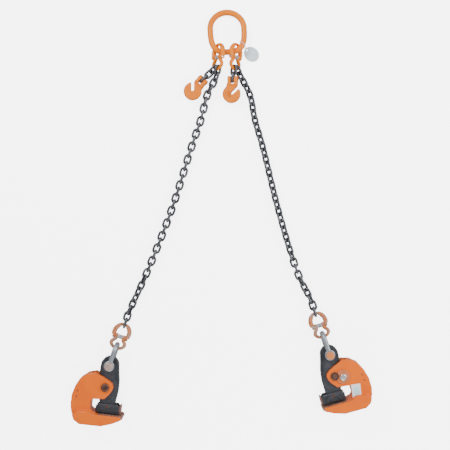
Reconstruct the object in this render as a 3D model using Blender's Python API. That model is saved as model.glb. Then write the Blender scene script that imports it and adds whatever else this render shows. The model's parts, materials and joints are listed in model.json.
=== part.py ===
"""Two-leg chain sling with a pair of plate lifting clamps, laid out flat on a floor.

X runs across the sling, Y from the clamps up to the master link, Z up from the floor.
The origin is on the floor, in the middle of the sling's outline. Sizes are in metres.
"""

import math

import bmesh
import bpy
from mathutils import Matrix, Vector

UP = Vector((0, 0, 1))
GAP = 0.0003  # between touching pieces

# master link: an egg-shaped ring, crown uppermost
LINK_BAR = 0.0104
CROWN_RADIUS = 0.0595
LINK_DROP = 0.0865  # from the crown's centre to the bottom bar
CROWN_AT = (0.0297, 0.6646)
LINK_TURN = math.radians(3)
TIE_X = 0.0845
TIE_LOOP = 0.0142
TAG_LONG = 0.029
TAG_WIDE = 0.0245

# chain, in each leg and above each hook
WIRE = 0.0042
BEND = 0.0105  # from a chain link's middle line to its wire's centre
HALF_LINK = 0.0159  # from a chain link's middle to the wire's centre at its end
PITCH = 0.024
LOOSE_PITCH = 2 * HALF_LINK - 2 * WIRE - GAP  # where two runs hinge on each other
RUNS = 4

# coupling: two forged halves on one load pin
PIN_TO_BOW = 0.042
PIN_TO_CROWN = 0.0450
BOW = 0.0048
BOW_ARM = 0.0065
ARM = 0.0255  # from the coupling's middle line to each arm
EYE_RADIUS = 0.009
LOAD_PIN = 0.005
LEAN = math.radians(37)  # of the top couplings, from standing on edge
TOP_Z = 0.0318
TOP_TILT = math.radians(4)  # their tops lean to the right
BAR_TO_CROWN = 0.0234
GRIP = BOW + WIRE + 4 * GAP  # from a bow's rod to the wire of the chain link on it
SAG = 0.0029  # of the top couplings below the master link's bar
END_DROP = 0.005
END_SLOPE = math.radians(13)

# hook, from the middle of its clevis pin
HOOK_DEPTH = 0.052  # to the middle of its bowl
BOWL = 0.032
HOOK_THICK = 0.017
SLOT = 0.011
CLEVIS_WIDTH = 0.037
CLEVIS_GAP = 0.0124
CLEVIS_PIN = 0.0045

# shackle, from the middle of its pin
SHACKLE_ROD = 0.0085
SHACKLE_ARM = 0.024
SHACKLE_CROWN = 0.075
SHACKLE_PIN = 0.0098
SHACKLE_EYE = 0.018

# clamp, in its own frame: U into the jaw's mouth, V up, W out of the front face,
# with its origin at the middle of the pivot bolt
CLAMP_Z = 0.0445
CHEEK = 0.026  # from the middle plane to the outer face of the upper jaw
JAW_HALF_DEPTH = 0.042
JAW_TOP = -0.094
LEVER_HALF = 0.013
EYE_AT = Vector((0, 0.0747, 0))
PIVOT = 0.0098
BUSH = 0.014
LOCK_AT = Vector((-0.027, -0.0095, 0))
FOOT_PIN_AT = Vector((0.018, -0.066, 0))

PAINT = ("painted orange", (0.83, 0.28, 0.03), 0.42, 0.0)
WORN_PAINT = ("worn orange", (0.62, 0.27, 0.10), 0.5, 0.2)
BLACK_STEEL = ("blackened steel", (0.045, 0.05, 0.055), 0.42, 0.8)
DARK_PAINT = ("dark lever paint", (0.05, 0.055, 0.06), 0.5, 0.3)
ZINC = ("galvanised steel", (0.62, 0.64, 0.66), 0.38, 0.9)
BROWN_STEEL = ("browned steel", (0.20, 0.10, 0.07), 0.5, 0.7)
TAG_BLUE = ("pale tag", (0.72, 0.83, 0.90), 0.5, 0.0)
WHITE = ("white film", (0.88, 0.90, 0.90), 0.45, 0.0)


class Leg:
    """What differs between the two legs."""

    def __init__(
        self, side, coupling_x, lean, chain, hook, hook_turn, path, end_tilt, pivot, into, lever_turn
    ):
        self.side = side
        self.coupling_x = coupling_x
        self.lean = lean
        self.chain = chain
        self.hook = hook
        self.hook_turn = math.radians(hook_turn)
        self.path = path
        self.end_tilt = math.radians(end_tilt)
        self.pivot = pivot
        self.into = Vector(into).normalized()
        self.clamp_up = UP.cross(self.into) * (1 if side == "left" else -1)
        self.lever_turn = math.radians(lever_turn)


class Start:
    """Where and how a piece of chain leaves a coupling's bow. Angles in degrees."""

    def __init__(self, round_bow, turn, slope, rolls=()):
        self.round_bow = round_bow
        self.turn = turn
        self.slope = slope
        self.rolls = rolls


LEGS = (
    Leg(
        side="left",
        coupling_x=0.0,
        lean=1,
        chain=Start(round_bow=8, turn=-15, slope=0.25),
        hook=Start(round_bow=-34, turn=-46, slope=0.0, rolls=(22, 94)),
        hook_turn=-45,
        path=((-0.041, 0.428), (-0.063, 0.343), (-0.099, 0.237), (-0.166, 0.026), (-0.249, -0.186)),
        end_tilt=19,
        pivot=(-0.391, -0.588),
        into=(0.9936, -0.1132, 0),
        lever_turn=-4,
    ),
    Leg(
        side="right",
        coupling_x=0.061,
        lean=-1,
        chain=Start(round_bow=-30, turn=28, slope=0.20),
        hook=Start(round_bow=10, turn=-6, slope=0.15, rolls=(102,)),
        hook_turn=-3,
        path=((0.112, 0.428), (0.1285, 0.343), (0.159, 0.237), (0.211, 0.026), (0.275, -0.186)),
        end_tilt=-18,
        pivot=(0.401, -0.549),
        into=(-0.9613, -0.2756, 0),
        lever_turn=3.5,
    ),
)


# ---- materials, bodies and nodes ----

def material(finish):
    name, colour, roughness, metallic = finish
    found = bpy.data.materials.get(name)
    if found:
        return found
    made = bpy.data.materials.new(name)
    made.use_nodes = True
    shader = made.node_tree.nodes["Principled BSDF"]
    shader.inputs["Base Color"].default_value = (*colour, 1)
    shader.inputs["Roughness"].default_value = roughness
    shader.inputs["Metallic"].default_value = metallic
    return made


def add_body(name, at, parent=None):
    """An empty on the body's joint, for its nodes to hang on."""
    empty = bpy.data.objects.new("body_" + name, None)
    bpy.context.scene.collection.objects.link(empty)
    empty.parent = parent
    empty.location = at - (world_place(parent) if parent else Vector())
    return empty


def world_place(empty):
    place = Vector()
    while empty:
        place += empty.location
        empty = empty.parent
    return place


def add_node(name, shape, finish, body, smooth=True):
    """A shape in world coordinates, as one object whose origin is on its body's joint."""
    bmesh.ops.recalc_face_normals(shape, faces=shape.faces)
    bmesh.ops.translate(shape, verts=shape.verts, vec=-world_place(body))
    mesh = bpy.data.meshes.new(name)
    shape.to_mesh(mesh)
    shape.free()
    mesh.materials.append(material(finish))
    if smooth:
        mesh.shade_smooth()
        mesh.set_sharp_from_angle(angle=math.radians(40))
    node = bpy.data.objects.new(name, mesh)
    node.parent = body
    bpy.context.scene.collection.objects.link(node)
    return node


# ---- shapes ----

def frame(at, x_axis, y_axis):
    """The matrix of a frame at a point, with its Z square to both axes."""
    x = x_axis.normalized()
    z = x.cross(y_axis).normalized()
    turn = Matrix((x, z.cross(x), z)).transposed().to_4x4()
    return Matrix.Translation(at) @ turn


def placed(shape, matrix):
    bmesh.ops.transform(shape, matrix=matrix, verts=shape.verts)
    return shape


def sweep(points, normal, radius, sides, closed=False):
    """A round bar along points in a plane whose normal is given. Its radius may change along it."""
    shape = bmesh.new()
    count = len(points)
    radii = radius if isinstance(radius, list) else [radius] * count
    rings = []
    for i, point in enumerate(points):
        behind = (point - points[i - 1]).normalized() if closed or i else None
        ahead = (points[(i + 1) % count] - point).normalized() if closed or i < count - 1 else behind
        behind = behind or ahead
        tangent = (behind + ahead).normalized()
        across = normal.cross(tangent).normalized() / tangent.dot(ahead)
        ring = []
        for k in range(sides):
            angle = 2 * math.pi * k / sides
            place = point + radii[i] * (math.cos(angle) * across + math.sin(angle) * normal)
            ring.append(shape.verts.new(place))
        rings.append(ring)
    for i in range(count if closed else count - 1):
        here, there = rings[i], rings[(i + 1) % count]
        for k in range(sides):
            n = (k + 1) % sides
            shape.faces.new((here[k], here[n], there[n], there[k]))
    if not closed:
        shape.faces.new(rings[0])
        shape.faces.new(rings[-1])
    return shape


def turned(profile, sides):
    """A solid turned about Z from (radius, height) pairs, bottom to top."""
    shape = bmesh.new()
    rings = []
    for radius, height in profile:
        turn = [2 * math.pi * k / sides for k in range(sides)]
        rings.append([shape.verts.new((radius * math.cos(a), radius * math.sin(a), height)) for a in turn])
    for low, high in zip(rings, rings[1:]):
        for k in range(sides):
            n = (k + 1) % sides
            shape.faces.new((low[k], low[n], high[n], high[k]))
    shape.faces.new(rings[0])
    shape.faces.new(rings[-1])
    return shape


def tube(outer, inner, low, high, sides):
    """A ring about Z with square edges."""
    shape = bmesh.new()
    corners = ((outer, low), (outer, high), (inner, high), (inner, low))
    rings = []
    for radius, height in corners:
        turn = [2 * math.pi * k / sides for k in range(sides)]
        rings.append([shape.verts.new((radius * math.cos(a), radius * math.sin(a), height)) for a in turn])
    for i in range(4):
        here, there = rings[i], rings[(i + 1) % 4]
        for k in range(sides):
            n = (k + 1) % sides
            shape.faces.new((here[k], here[n], there[n], there[k]))
    return shape


def slab(outline, low, high, edge=0.0):
    """A plate of a flat outline, between two heights, with bevelled rims."""
    shape = bmesh.new()
    face = shape.faces.new([shape.verts.new((x, y, low)) for x, y in outline])
    raised = bmesh.ops.extrude_face_region(shape, geom=[face])
    top = [v for v in raised["geom"] if isinstance(v, bmesh.types.BMVert)]
    bmesh.ops.translate(shape, verts=top, vec=(0, 0, high - low))
    bmesh.ops.recalc_face_normals(shape, faces=shape.faces)
    if edge:
        rims = [e for e in shape.edges if abs(e.verts[0].co.z - e.verts[1].co.z) < 1e-9]
        bmesh.ops.bevel(shape, geom=rims, offset=edge, segments=1, affect="EDGES")
    return shape


def box(low, high, edge=0.0):
    outline = [(low[0], low[1]), (high[0], low[1]), (high[0], high[1]), (low[0], high[1])]
    return slab(outline, low[2], high[2], edge)


def arc(middle, radius, start, end, steps):
    """Points of an arc in a plane, with its angles in degrees."""
    turn = [math.radians(start + (end - start) * i / steps) for i in range(steps + 1)]
    return [(middle[0] + radius * math.cos(a), middle[1] + radius * math.sin(a)) for a in turn]


def boolean(base, tool, operation):
    """Combines two shapes, and returns the result as a new one."""
    made = []
    for shape in (base, tool):
        mesh = bpy.data.meshes.new("shape")
        bmesh.ops.recalc_face_normals(shape, faces=shape.faces)
        shape.to_mesh(mesh)
        shape.free()
        thing = bpy.data.objects.new("shape", mesh)
        bpy.context.scene.collection.objects.link(thing)
        made.append(thing)
    change = made[0].modifiers.new("change", "BOOLEAN")
    change.operation = operation
    change.object = made[1]
    change.solver = "EXACT"
    depsgraph = bpy.context.evaluated_depsgraph_get()
    result = bmesh.new()
    result.from_object(made[0], depsgraph)
    for thing in made:
        mesh = thing.data
        bpy.data.objects.remove(thing)
        bpy.data.meshes.remove(mesh)
    bmesh.ops.dissolve_limit(result, angle_limit=0.001, verts=result.verts, edges=result.edges)
    return result


def joined(base, *tools):
    for tool in tools:
        base = boolean(base, tool, "UNION")
    return base


def cut(base, *tools):
    for tool in tools:
        base = boolean(base, tool, "DIFFERENCE")
    return base


# ---- chain ----

def smooth_path(points, steps=24):
    """A smooth curve through points, with the ends carried straight on."""
    ends = [2 * points[0] - points[1], *points, 2 * points[-1] - points[-2]]
    curve = []
    for a, b, c, d in zip(ends, ends[1:], ends[2:], ends[3:]):
        for i in range(steps):
            t = i / steps
            curve.append(
                0.5
                * (
                    2 * b
                    + (c - a) * t
                    + (2 * a - 5 * b + 4 * c - d) * t * t
                    + (3 * b - a - 3 * c + d) * t * t * t
                )
            )
    return [*curve, points[-1]]


def along(curve, distance):
    """The point of a curve at a distance from its start."""
    for a, b in zip(curve, curve[1:]):
        step = (b - a).length
        if distance <= step:
            return a + (b - a) * (distance / step)
        distance -= step
    return curve[-1]


def chain_link(middle, direction, roll):
    """One link. Roll 0 lays it flat, and 90 degrees stands it on edge."""
    side = UP.cross(direction).normalized()
    lift = direction.cross(side).normalized()
    across = math.cos(roll) * side + math.sin(roll) * lift
    half, corner = HALF_LINK, HALF_LINK - 0.55 * BEND
    outline = [(half, -BEND / 2), (half, BEND / 2), (corner, BEND), (-corner, BEND)]
    outline += [(-x, -y) for x, y in outline]
    points = [middle + direction * x + across * y for x, y in outline]
    return sweep(points, direction.cross(across).normalized(), WIRE, 4, closed=True)


def chain_run(links):
    """Links in one piece: every second one, joined with those between them."""
    halves = []
    for start in (0, 1):
        half = bmesh.new()
        for link in links[start::2]:
            mesh = bpy.data.meshes.new("link")
            part = chain_link(*link)
            part.to_mesh(mesh)
            part.free()
            half.from_mesh(mesh)
            bpy.data.meshes.remove(mesh)
        halves.append(half)
    return boolean(*halves, "UNION")


def rest_height(roll):
    """How high the chain's middle line lies on the floor, for the roll of its links."""
    slope = math.radians(roll)
    return (BEND + WIRE) * max(abs(math.sin(slope)), abs(math.cos(slope))) + 4 * GAP


def leg_links(points, first_roll, main_roll):
    """(middle, direction, roll) of each link of a leg, in runs."""
    curve = smooth_path(points)
    length = sum((b - a).length for a, b in zip(curve, curve[1:])) - (RUNS - 1) * LOOSE_PITCH
    count = round(length / PITCH) + RUNS
    pitch = length / (count - RUNS)
    ends = [round(count * (i + 1) / RUNS) for i in range(RUNS)]
    last_roll = main_roll - (main_roll + 90 * count) % 180
    places, rolls, distance = [], [], 0.0
    for i in range(count):
        roll = main_roll
        roll += (first_roll - main_roll) * max(0, 1 - i / 8)
        roll += (last_roll - main_roll) * max(0, 1 - (count - 1 - i) / 10)
        place = along(curve, distance)
        places.append(Vector((place.x, place.y, max(place.z, rest_height(roll)))))
        rolls.append(math.radians(roll + 90 * i))
        distance += LOOSE_PITCH if i + 1 in ends else pitch
    ahead = [*places[1:], places[-1]]
    behind = [places[0], *places[:-1]]
    ways = [(after - before).normalized() for before, after in zip(behind, ahead)]
    links = list(zip(places, ways, rolls))
    return [links[a:b] for a, b in zip([0, *ends], ends)]


def hinge_between(link, following):
    """Where the wires of two links meet."""
    return (link[0] + link[1] * HALF_LINK + following[0] - following[1] * HALF_LINK) / 2


# ---- coupling ----

def upper_half():
    """The half whose eyes are outermost, in the coupling's frame: X the pin's axis, Y up."""
    start = PIN_TO_CROWN - ARM
    points = [(ARM - 0.0005, 0.004), *arc((0, start), ARM, 0, 180, 8), (0.0005 - ARM, 0.004)]
    arm = [BOW_ARM, BOW_ARM, 0.0060, 0.0052]
    radii = [*arm, BOW, BOW, BOW, *reversed(arm)]
    bow = sweep([Vector((x, y, 0)) for x, y in points], Vector((0, 0, 1)), radii, 6)
    return with_eyes(bow, 0.019, 0.028)


def lower_half():
    """The half whose eyes are innermost."""
    low = ARM - PIN_TO_BOW
    side = [(0.0135, -0.004), (0.0138, -0.0140), (0.0188, -0.0220)]
    points = [*side, *arc((0, low), ARM, -25, -155, 6), *[(-x, y) for x, y in reversed(side)]]
    arm = [0.0048, 0.0052, 0.0060, 0.0060, 0.0050]
    radii = [*arm, BOW, BOW, BOW, *reversed(arm)]
    bow = sweep([Vector((x, y, 0)) for x, y in points], Vector((0, 0, 1)), radii, 6)
    return with_eyes(bow, 0.009, 0.018)


def with_eyes(bow, inner, outer):
    lying = Matrix.Rotation(math.pi / 2, 4, "Y")
    for low, high in ((inner, outer), (-outer, -inner)):
        bow = joined(bow, placed(turned(((EYE_RADIUS, low), (EYE_RADIUS, high)), 12), lying))
    reach = outer + 0.002
    bore = LOAD_PIN + GAP
    return cut(bow, placed(turned(((bore, -reach), (bore, reach)), 12), lying))


def add_coupling(name, place, upper_body, lower_body, finish):
    lying = place @ Matrix.Rotation(math.pi / 2, 4, "Y")
    tip = LOAD_PIN - 0.001
    pin = turned(((tip, -0.0282), (LOAD_PIN, -0.0272), (LOAD_PIN, 0.0272), (tip, 0.0282)), 12)
    add_node(f"{name}_upper_half", placed(upper_half(), place), finish, upper_body)
    add_node(f"{name}_lower_half", placed(lower_half(), place), finish, lower_body)
    add_node(f"{name}_load_pin", placed(pin, lying), ZINC, upper_body)
    sleeve = tube(0.0075, LOAD_PIN + GAP, -0.0087, 0.0087, 12)
    add_node(f"{name}_sleeve", placed(sleeve, lying), ZINC, upper_body)


# ---- hook ----

def hook_shape():
    """A grab hook in its own frame: Y back to the clevis pin, X towards its point."""
    bowl_at = (-0.002, -HOOK_DEPTH)
    lift = math.sqrt(0.5)
    wide = CLEVIS_WIDTH / 2 - 0.0005
    shank = [(-wide, -0.024), (wide, -0.024), (wide, 0.002), (-wide, 0.002)]
    neck = [
        (-0.030, -0.054), (0.004, -0.050), (0.015, -0.030),
        (0.019, -0.012), (-0.019, -0.012), (-0.023, -0.030),
    ]
    half = HOOK_THICK / 2
    body = slab(arc(bowl_at, BOWL, 0, 337.5, 15), -half, half, 0.004)
    body = joined(body, slab(neck, -half, half, 0.003), slab(shank, -0.011, 0.011, 0.003))
    far = BOWL * 1.6
    half = SLOT / 2
    slot = [(-half, -0.003), (-0.003, -half), (0.003, -half), (half, -0.003), (half, far), (-half, far)]
    slot = [(lift * (x + y) + bowl_at[0], lift * (y - x) + bowl_at[1]) for x, y in slot]
    mouth = box((-CLEVIS_GAP / 2, -0.0168, -0.02), (CLEVIS_GAP / 2, 0.02, 0.02))
    bore = CLEVIS_PIN + GAP
    hole = placed(turned(((bore, -0.03), (bore, 0.03)), 12), Matrix.Rotation(math.pi / 2, 4, "Y"))
    barrel = slab(arc((0, 0), 0.011, 0, 330, 11), -CLEVIS_WIDTH / 2, CLEVIS_WIDTH / 2)
    body = joined(body, placed(barrel, Matrix.Rotation(math.pi / 2, 4, "Y")))
    return cut(body, slab(slot, -0.02, 0.02), mouth, hole)


# ---- clamp ----

def body_outline():
    """The clamp body seen from its front: back, top, upper lip, throat, lower jaw."""
    return [
        (-0.096, -0.121), (-0.108, -0.097), (-0.1135, -0.073), (-0.113, -0.038), (-0.104, -0.005),
        (-0.091, 0.020), (-0.068, 0.039), (-0.040, 0.0465), (-0.011, 0.034), (0.012, 0.0225),
        (0.0235, 0.0135), (0.027, 0.003), (0.0245, -0.010), (0.016, -0.024), (0.001, -0.041),
        (-0.038, -0.0455), (-0.0445, -0.051), (-0.044, -0.078), (-0.034, -0.090), (-0.020, JAW_TOP),
        (0.064, JAW_TOP), (0.067, -0.100), (0.064, -0.107), (0.038, -0.120), (0.001, -0.132),
        (-0.038, -0.1325), (-0.074, -0.1325),
    ]


def jaw_outline():
    """The wide lower jaw, which blends into the back."""
    return [
        (-0.094, -0.120), (-0.102, -0.104), (-0.086, -0.088), (-0.052, -0.084), (-0.034, -0.091),
        (-0.020, JAW_TOP), (0.064, JAW_TOP), (0.067, -0.100), (0.064, -0.107), (0.038, -0.120),
        (0.001, -0.132), (-0.038, -0.1325), (-0.074, -0.1325),
    ]


def clamp_body():
    body = slab(body_outline(), -CHEEK, CHEEK, 0.004)
    body = joined(body, slab(jaw_outline(), -JAW_HALF_DEPTH, JAW_HALF_DEPTH, 0.005))
    slot = LEVER_HALF + 0.0006
    bore = PIVOT + GAP
    lever_way = box((-0.055, -0.052, -slot), (0.05, 0.06, slot))
    pocket = box((-0.0165, JAW_TOP - 0.0103, -0.0343), (0.09, -0.075, 0.0343))
    hole = turned(((bore, -0.05), (bore, 0.05)), 16)
    lock_hole = placed(turned(((0.0063, -0.05), (0.0063, 0)), 12), Matrix.Translation(LOCK_AT))
    return cut(body, lever_way, pocket, hole, lock_hole)


def lever_shape():
    """The lever plate: round eye, straight inner edge, tongue into the foot."""
    top = arc((EYE_AT.x, EYE_AT.y), 0.031, 0, 180, 8)
    foot_end = [(-0.027, 0.030), (-0.024, -0.020), (-0.006, -0.0747), (0.040, -0.0747), (0.044, -0.020)]
    outline = [(0.041, 0.030), *top, *foot_end]
    plate = slab(outline, -LEVER_HALF, LEVER_HALF, 0.0015)
    eye = turned(((SHACKLE_PIN + GAP, -0.03), (SHACKLE_PIN + GAP, 0.03)), 16)
    eye = placed(eye, Matrix.Translation(EYE_AT))
    bore = turned(((BUSH + GAP, -0.03), (BUSH + GAP, 0.03)), 16)
    hole = placed(turned(((0.0053, -0.03), (0.0053, 0.03)), 10), Matrix.Translation(FOOT_PIN_AT))
    return cut(plate, eye, bore, hole)


def foot_shape():
    """The foot that presses on the plate: a shoe with two cheeks for the lever's tongue."""
    outline = [
        (-0.022, -0.086), (-0.019, -0.089), (0.057, -0.089), (0.060, -0.086),
        (0.060, -0.066), (0.052, -0.0575), (-0.013, -0.0575), (-0.022, -0.066),
    ]
    shoe = slab(outline, -0.021, 0.021, 0.0015)
    way = box((-0.03, -0.0775, -LEVER_HALF - GAP), (0.07, 0, LEVER_HALF + GAP))
    hole = placed(turned(((0.0053, -0.03), (0.0053, 0.03)), 10), Matrix.Translation(FOOT_PIN_AT))
    return cut(shoe, way, hole)


def add_lever(side, place, turn, body):
    """The lever, and the foot that swivels on its pin to stay level with the jaw."""
    add_node(f"lever_{side}", placed(lever_shape(), place), DARK_PAINT, body)
    bush = tube(BUSH, PIVOT + GAP, -LEVER_HALF + GAP, LEVER_HALF - GAP, 16)
    add_node(f"lever_bush_{side}", placed(bush, place), BROWN_STEEL, body)
    foot_pin_at = place @ Matrix.Translation(FOOT_PIN_AT)
    level = foot_pin_at @ Matrix.Rotation(-turn, 4, "Z") @ Matrix.Translation(-FOOT_PIN_AT)
    add_node(f"foot_{side}", placed(foot_shape(), level), DARK_PAINT, body, smooth=False)
    foot_pin = turned(((0.004, -0.0217), (0.005, -0.0207), (0.005, 0.0207), (0.004, 0.0217)), 10)
    add_node(f"foot_pin_{side}", placed(foot_pin, foot_pin_at), BROWN_STEEL, body)


def add_clamp(side, place, body):
    add_node(f"clamp_body_{side}", placed(clamp_body(), place), PAINT, body)
    insert = box((-0.016, JAW_TOP - 0.010, -0.034), (0.0705, JAW_TOP + 0.0004, 0.034), 0.001)
    add_node(f"jaw_insert_{side}", placed(insert, place), BROWN_STEEL, body, smooth=False)
    face = CHEEK + GAP
    profile = ((PIVOT - 0.001, -0.0335), (PIVOT, -0.0325), (PIVOT, face))
    profile += ((0.0143, face), (0.0143, face + 0.005), (0.0118, face + 0.0075))
    add_node(f"pivot_bolt_{side}", placed(turned(profile, 16), place), BROWN_STEEL, body)
    collar = tube(0.0143, PIVOT + GAP, -face - 0.0055, -face, 16)
    add_node(f"pivot_collar_{side}", placed(collar, place), BROWN_STEEL, body)
    lock = place @ Matrix.Translation(LOCK_AT)
    bite = placed(turned(((0.0147, -0.05), (0.0147, 0)), 16), Matrix.Translation(-LOCK_AT))
    disc = cut(tube(0.0245, 0.0063, -face - 0.004, -face, 20), bite)
    add_node(f"lock_disc_{side}", placed(disc, lock), PAINT, body)
    under = -face - 0.004 - GAP
    profile = ((0.0095, under - 0.0085), (0.0115, under - 0.007), (0.0115, under))
    profile += ((0.006, under), (0.006, -LEVER_HALF - 0.0012))
    add_node(f"lock_bolt_{side}", placed(turned(profile, 12), lock), ZINC, body)


# ---- shackle ----

def shackle_bow():
    """In the shackle's frame: X along the pin, Y to the crown."""
    start = SHACKLE_CROWN - SHACKLE_ARM
    points = [(SHACKLE_ARM, 0.006), *arc((0, start), SHACKLE_ARM, 0, 180, 10), (-SHACKLE_ARM, 0.006)]
    bow = sweep([Vector((x, y, 0)) for x, y in points], Vector((0, 0, 1)), SHACKLE_ROD, 8)
    lying = Matrix.Rotation(math.pi / 2, 4, "Y")
    for low in (0.0155, -0.0327):
        bow = joined(bow, placed(turned(((SHACKLE_EYE, low), (SHACKLE_EYE, low + 0.0172)), 16), lying))
    bore = SHACKLE_PIN + GAP
    return cut(bow, placed(turned(((bore, -0.04), (bore, 0.04)), 16), lying))


def add_shackle(side, place, body):
    lying = place @ Matrix.Rotation(math.pi / 2, 4, "Y")
    add_node(f"shackle_bow_{side}", placed(shackle_bow(), place), ZINC, body)
    head = 0.033
    profile = ((0.008, -0.0438), (0.0092, -0.0425), (SHACKLE_PIN, -head), (SHACKLE_PIN, head))
    profile += ((0.0145, head), (0.0145, 0.038), (0.012, 0.0405))
    add_node(f"shackle_pin_{side}", placed(turned(profile, 16), lying), PAINT, body)
    nut = turned(((0.0155, -0.0423), (0.0155, -head)), 6)
    bore = SHACKLE_PIN + GAP
    nut = cut(nut, turned(((bore, -0.05), (bore, 0)), 16))
    add_node(f"shackle_nut_{side}", placed(nut, lying), ZINC, body)


# ---- the sling ----

def master_points():
    """The centre line of the master link, in its own plane."""
    points = []
    for i in range(30):
        angle = 2 * math.pi * i / 30
        x, y = math.cos(angle), math.sin(angle)
        if y < 0:
            x, y = math.copysign(abs(x) ** (2 / 3), x), -(abs(y) ** (2 / 3)) * LINK_DROP / CROWN_RADIUS
        points.append(Vector((CROWN_RADIUS * x, CROWN_RADIUS * y, 0)))
    return points


def master_frame():
    """Crown on the floor, bottom bar raised on the couplings."""
    rest = LINK_BAR + GAP
    pitch = math.asin((TOP_Z - rest) / (LINK_DROP + CROWN_RADIUS))
    return (
        Matrix.Translation((*CROWN_AT, rest + CROWN_RADIUS * math.sin(pitch)))
        @ Matrix.Rotation(LINK_TURN, 4, "Z")
        @ Matrix.Rotation(-pitch, 4, "X")
    )


def bar_at(curve, x):
    """Where the master link's bottom bar crosses a given X."""
    low = [p for p in curve if p.y < CROWN_AT[1]]
    low.sort(key=lambda p: p.x)
    for a, b in zip(low, low[1:]):
        if a.x <= x <= b.x:
            return a + (b - a) * ((x - a.x) / (b.x - a.x))
    return low[0]


def add_tag(curve, root):
    """An oval tag tied to the master link's lower right side."""
    bar = bar_at(curve, TIE_X)
    out = Vector((0.72, -0.69, 0)).normalized()
    hole = bar + out * 0.022
    hole.z = 0.0062
    loop = []
    for step in range(2, 21):
        angle = math.radians(15 * step)
        loop.append(bar + TIE_LOOP * (math.cos(angle) * out + math.sin(angle) * UP))
    for back, height in ((-0.0085, 0.0040), (0, 0.0030), (0.0005, 0.0095)):
        loop.append(Vector((hole.x, hole.y, height)) + back * out)
    tie = add_body("tie", bar, root)
    add_node("tag_tie", sweep(loop, out.cross(UP).normalized(), 0.0011, 5, closed=True), WHITE, tie)
    tag = add_body("tag", hole, tie)
    disc = turned(((0.98, -0.001), (1, -0.0005), (1, 0.0005), (0.98, 0.001)), 24)
    bmesh.ops.scale(disc, vec=(TAG_LONG, TAG_WIDE, 1), verts=disc.verts)
    disc = placed(disc, frame(hole + (TAG_LONG - 0.007) * out, out, UP.cross(out)))
    hole_cut = placed(turned(((0.0038, -0.01), (0.0038, 0.01)), 10), Matrix.Translation(hole))
    add_node("tag", cut(disc, hole_cut), TAG_BLUE, tag)


def leaving(start, place):
    """The first link of a piece of chain on a coupling's lower bow, and where it hangs."""
    angle = math.radians(start.round_bow)
    turn = math.radians(start.turn)
    low = ARM - PIN_TO_BOW
    at = place @ Vector((ARM * math.sin(angle), low - ARM * math.cos(angle), 0))
    rod = place.to_3x3() @ Vector((math.cos(angle), math.sin(angle), 0))
    way = Vector((math.sin(turn), -math.cos(turn), -start.slope)).normalized()
    slant = rod.dot(way)
    side = UP.cross(way).normalized()
    roll = math.degrees(math.atan2(-rod.dot(side), rod.dot(way.cross(side))))
    roll = (roll + 90) % 180 - 90
    grip = GRIP / math.sqrt(1 - slant**2)
    return at, way, at + way * (HALF_LINK - grip), roll


def add_hook(leg, place, lower):
    """Two or three chain links and a clevis grab hook, on a coupling's lower bow."""
    at, way, middle, first_roll = leaving(leg.hook, place)
    rolls = [math.radians(roll) for roll in (first_roll, *leg.hook.rolls)]
    links = [(middle + way * PITCH * i, way, roll) for i, roll in enumerate(rolls)]
    body = add_body(f"hook_links_{leg.side}", at, lower)
    add_node(f"hook_links_{leg.side}", chain_run(links), BLACK_STEEL, body)
    pin_at = links[-1][0] + way * (HALF_LINK - WIRE - CLEVIS_PIN - GAP)
    hook = add_body(f"hook_{leg.side}", pin_at, body)
    side = UP.cross(way).normalized()
    lean = rolls[-1] - math.pi / 2
    across = math.cos(lean) * side + math.sin(lean) * way.cross(side)
    level = Vector((math.sin(leg.hook_turn), -math.cos(leg.hook_turn), -0.03)).normalized()
    across = (across - across.dot(level) * level).normalized()
    flip = -1 if leg.side == "left" else 1
    held = frame(pin_at, flip * across, -level)
    add_node(f"hook_{leg.side}", placed(hook_shape(), held), PAINT, hook)
    pin = turned(((0.0035, -0.0198), (CLEVIS_PIN, -0.0188), (CLEVIS_PIN, 0.0188), (0.0035, 0.0198)), 12)
    pin = placed(pin, held @ Matrix.Rotation(math.pi / 2, 4, "Y"))
    add_node(f"clevis_pin_{leg.side}", pin, BROWN_STEEL, hook)


def end_coupling_frame(eye, tilt):
    """The end coupling slopes from the shackle's crown down to the chain."""
    inward = Vector((math.sin(tilt), math.cos(tilt), 0))
    round_crown = SHACKLE_ARM - SHACKLE_ROD - BOW - GAP
    reach = SHACKLE_CROWN - SHACKLE_ARM + math.sqrt(round_crown**2 - END_DROP**2)
    low_bow = eye + inward * reach - UP * END_DROP
    axis = (inward * math.cos(END_SLOPE) - UP * math.sin(END_SLOPE)).normalized()
    return frame(low_bow + axis * PIN_TO_BOW, axis.cross(UP), axis), axis, inward


def add_chain(leg, place, end_place, axis, lower):
    """A leg's chain, in runs that hinge on each other. Gives the last run's body."""
    at, way, first, first_roll = leaving(leg.chain, place)
    main_roll = 0 if leg.side == "left" else 45
    rest_z = rest_height(main_roll)
    last = end_place.translation + axis * (PIN_TO_CROWN - GRIP + HALF_LINK)
    inner = [Vector((x, y, rest_z)) for x, y in leg.path]
    level = Vector((axis.x, axis.y, 0)).normalized()
    settled = last + 0.05 * level
    settled.z = rest_z
    points = [first, first + 0.03 * way, *inner, settled, last]
    parent = lower
    joint = at
    runs = leg_links(points, first_roll, main_roll)
    for number, links in enumerate(runs, 1):
        if number > 1:
            joint = hinge_between(runs[number - 2][-1], links[0])
        parent = add_body(f"chain_{leg.side}_{number}", joint, parent)
        add_node(f"chain_{leg.side}_{number}", chain_run(links), BLACK_STEEL, parent)
    return parent


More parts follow.
